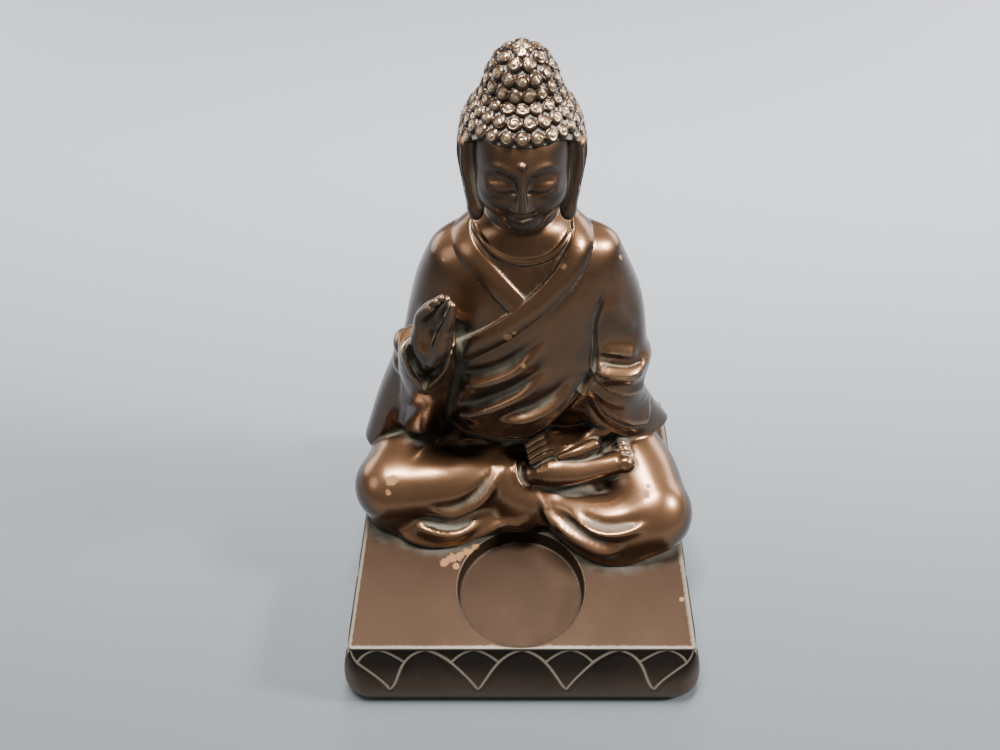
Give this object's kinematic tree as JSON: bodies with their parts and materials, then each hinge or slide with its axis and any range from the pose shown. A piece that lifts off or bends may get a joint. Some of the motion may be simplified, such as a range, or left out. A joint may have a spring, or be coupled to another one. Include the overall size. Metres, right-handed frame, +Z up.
{
  "type": "seated buddha statue",
  "caption": "Cast statuette of a seated robed figure with one hand raised, on a square lotus-petal plinth with a round recess for a tealight in its top.",
  "frame": {"origin": "middle of the plinth's flat underside", "axes": "+Z up through the head, +X to the right of someone facing the statue, the figure faces -Y"},
  "size_m": [0.1198, 0.1128, 0.1903],
  "materials": {
    "bronze_finish": "semi-gloss copper-brown bronze coating, darkened and dusty in the recesses, worn and chipped to tan on edges"
  },
  "bodies": {
    "root": {"buddha_statue": "bronze_finish"}
  },
  "joints": []
}
